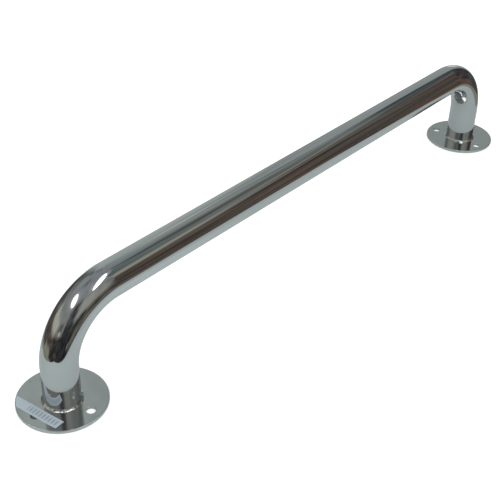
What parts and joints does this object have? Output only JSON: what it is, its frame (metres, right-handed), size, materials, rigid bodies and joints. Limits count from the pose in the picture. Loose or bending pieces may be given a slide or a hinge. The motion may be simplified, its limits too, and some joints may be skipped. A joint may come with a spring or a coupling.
{
  "type": "grab rail",
  "caption": "Bent tube grab rail with a round screw-down foot plate welded to the end of each post.",
  "frame": {"origin": "on the mounting surface, midway between the two posts", "axes": "+X along the rail towards the right foot, +Z away from the mounting surface, +Y across the rail; the labelled foot is at -X"},
  "size_m": [0.562, 0.062, 0.0877],
  "materials": {
    "polished_tube": "mirror polished stainless steel",
    "polished_plate": "mirror polished stainless steel plate",
    "weld_metal": "bright buffed weld bead",
    "label_face": "blank matt adhesive strip"
  },
  "bodies": {
    "root": {"rail_tube": "polished_tube", "left_flange": "polished_plate", "right_flange": "polished_plate", "left_weld_bead": "weld_metal", "right_weld_bead": "weld_metal", "label_strip": "label_face"}
  },
  "joints": []
}
